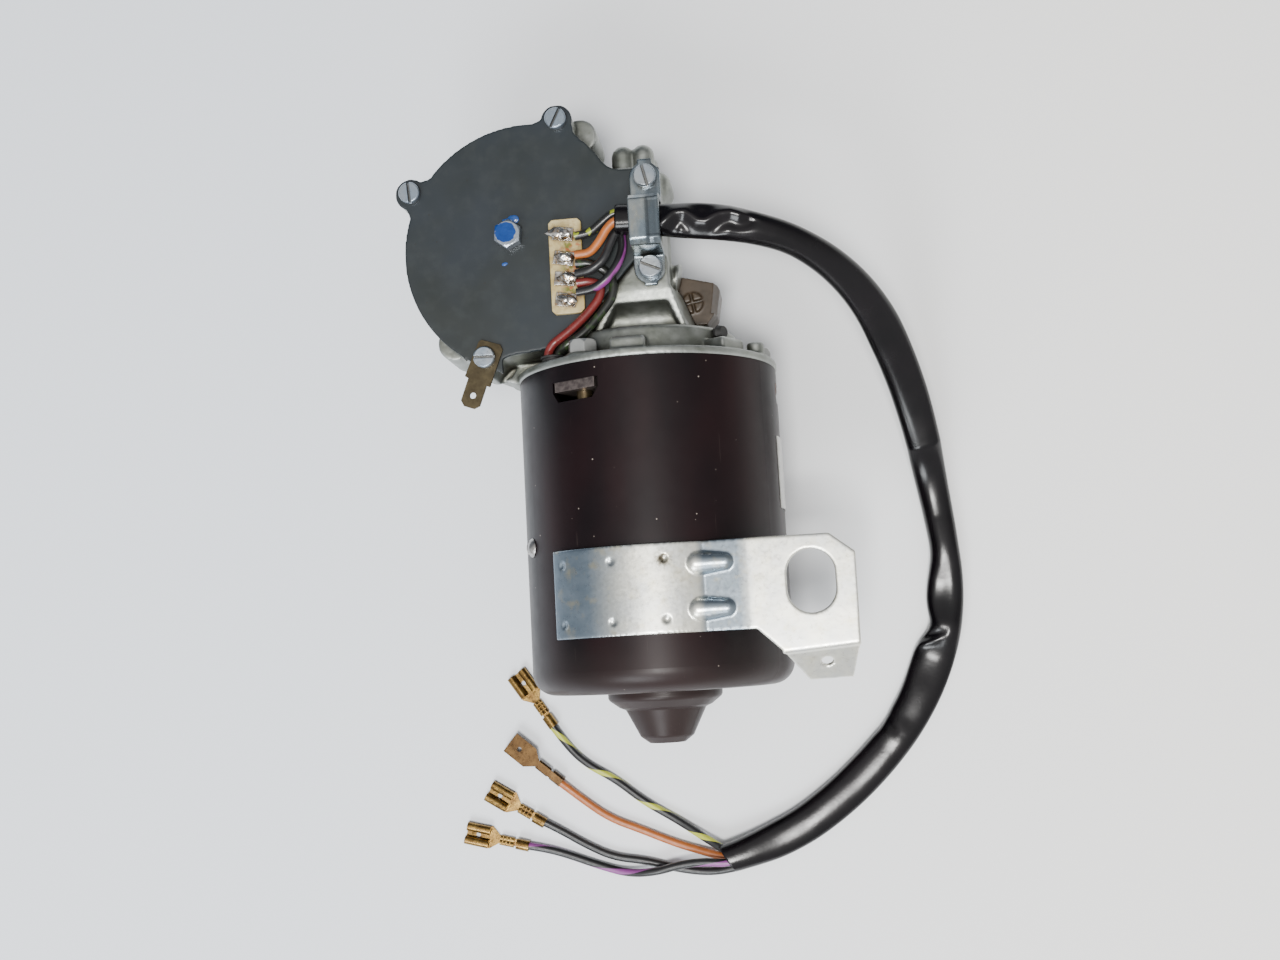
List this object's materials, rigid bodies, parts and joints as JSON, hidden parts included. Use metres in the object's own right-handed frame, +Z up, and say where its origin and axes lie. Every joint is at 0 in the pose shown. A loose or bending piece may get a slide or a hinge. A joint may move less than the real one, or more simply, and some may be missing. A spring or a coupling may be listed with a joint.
{
  "type": "roller shutter motor",
  "caption": "Worm-geared DC motor for a roller shutter: drawn can, cast right-angle gearbox with a downward output shaft, strap bracket and wired harness.",
  "frame": {"origin": "on the surface that the motor lies on, under the middle of the motor without its harness", "axes": "+Y along the motor axis from the bearing nose to the gearbox, +Z up through the gearbox cover, +X towards the bracket plate"},
  "size_m": [0.1749, 0.249, 0.0841],
  "materials": {
    "can_paint": "satin, drawn marks along the can",
    "cast_alloy": "die-cast, dull",
    "cover_paint": "matte stamped sheet",
    "zinc_sheet": "zinc plated, blue and yellow tint",
    "zinc_screw": "zinc plated",
    "black_rubber": "matte",
    "strip_plastic": "phenolic board, flux stained",
    "solder_tab": "tinned and soldered",
    "aged_brass": "tarnished",
    "yellow_green_pvc": "printed insulation",
    "orange_pvc": "insulation",
    "black_pvc": "insulation",
    "violet_pvc": "insulation with a stripe",
    "red_pvc": "insulation",
    "sleeve_pvc": "soft glossy sleeve",
    "brown_plastic": "moulded",
    "turned_steel": "ground",
    "core_steel": "stamped sheets",
    "copper_wire": "enamelled copper",
    "bronze_bush": "sintered bronze",
    "gear_plastic": "moulded gear",
    "board": "phenolic board",
    "carbon": "carbon",
    "label_foil": "blank foil",
    "gasket_cork": "matte"
  },
  "bodies": {
    "motor_frame": {"motor_can": "can_paint", "gear_housing": "cast_alloy", "cover_plate": "cover_paint", "cover_gasket": "gasket_cork", "cover_screws": "zinc_screw", "clamp_screws": "zinc_screw", "cable_clamp": "zinc_sheet", "earth_tab": "aged_brass", "axle_adjusting_screw": "zinc_screw", "terminal_strip": "strip_plastic", "terminal_tabs": "solder_tab", "contact_springs": "aged_brass", "lead_yellow_green": "yellow_green_pvc", "lead_orange": "orange_pvc", "lead_black": "black_pvc", "lead_violet": "violet_pvc", "motor_lead_red": "red_pvc", "motor_lead_black": "black_pvc", "lead_grommet": "black_rubber", "harness_sleeve": "sleeve_pvc", "wire_yellow_green": "yellow_green_pvc", "wire_orange": "orange_pvc", "wire_black": "black_pvc", "wire_violet": "violet_pvc", "receptacle_1": "aged_brass", "receptacle_2": "aged_brass", "receptacle_3": "aged_brass", "receptacle_4": "aged_brass", "through_bolts": "zinc_screw", "bolt_nuts": "turned_steel", "mounting_bracket": "zinc_sheet", "breather_cap": "brown_plastic", "drain_plug": "black_rubber", "nameplate": "label_foil", "pole_screws": "turned_steel", "pole_shoes": "core_steel", "field_coils": "copper_wire", "brush_plate": "board", "brush_holders": "aged_brass", "brushes": "carbon", "brush_springs": "turned_steel", "rear_bearing": "bronze_bush", "bearing_retainer": "zinc_sheet", "front_bearing": "turned_steel", "end_bearing": "bronze_bush", "thrust_screw": "turned_steel", "output_bush": "bronze_bush", "shaft_seal": "black_rubber"},
    "armature": {"armature_shaft": "turned_steel", "armature_core": "core_steel", "armature_winding": "copper_wire", "commutator": "copper_wire", "worm": "turned_steel", "thrust_ball": "turned_steel"},
    "output": {"output_shaft": "turned_steel", "worm_wheel": "gear_plastic", "wheel_hub": "turned_steel", "contact_disc": "aged_brass", "thrust_washer": "turned_steel", "shaft_circlip": "turned_steel"}
  },
  "joints": [
    {"name": "armature_spin", "type": "hinge", "parent": "motor_frame", "child": "armature", "pos_m": [0.00705, 0.0147, 0.0416], "axis": [0, 1, 0], "continuous": true},
    {"name": "output_spin", "type": "hinge", "parent": "motor_frame", "child": "output", "pos_m": [-0.03165, 0.0593, 0.0216], "axis": [0, 0, 1], "continuous": true}
  ],
  "couplings": [
    {"joint": "output_spin", "follows": "armature_spin", "ratio": -0.015873}
  ]
}
